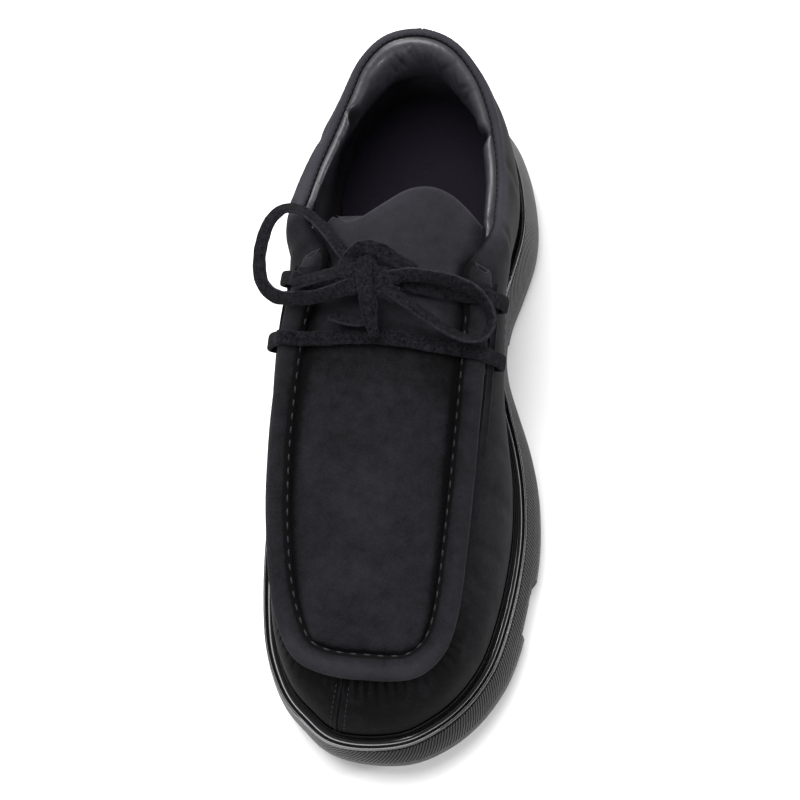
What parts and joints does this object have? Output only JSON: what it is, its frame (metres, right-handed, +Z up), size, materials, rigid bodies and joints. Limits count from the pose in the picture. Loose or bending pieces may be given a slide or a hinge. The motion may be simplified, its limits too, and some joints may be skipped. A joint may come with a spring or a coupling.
{
  "type": "creeper shoe",
  "caption": "Left lace-up creeper shoe with a moccasin apron and roll, padded collar, tongue, tied thong lace, glossy welt and a thick flared lugged rubber sole.",
  "frame": {"origin": "middle of the shoe's footprint box on the ground, so the shoe stands on z = 0", "axes": "toe along -Y, heel along +Y, outer side of the foot at +X, +Z up"},
  "size_m": [0.1238, 0.3028, 0.1197],
  "materials": {
    "sole_rubber": "moulded rubber, satin, with a fine diagonal rib on its side",
    "welt_rubber": "polished moulded rubber, glossy",
    "insole": "plain dark lining, matte",
    "nubuck": "black nubuck with a fine nap, matte",
    "lining": "smooth black calf lining, low sheen",
    "suede_lace": "cut suede thong with fuzzy edges, matte"
  },
  "bodies": {
    "root": {"outsole": "sole_rubber", "midsole": "sole_rubber", "welt": "welt_rubber", "insole": "insole", "upper": "nubuck", "apron_roll": "nubuck", "facing_lateral": "nubuck", "facing_medial": "nubuck", "tongue": "nubuck", "lace_bar_lower": "suede_lace", "lace_bar_upper": "suede_lace", "knot": "suede_lace", "bow_medial": "suede_lace", "bow_lateral": "suede_lace", "lace_end_medial": "suede_lace", "lace_end_lateral": "suede_lace"}
  },
  "joints": []
}
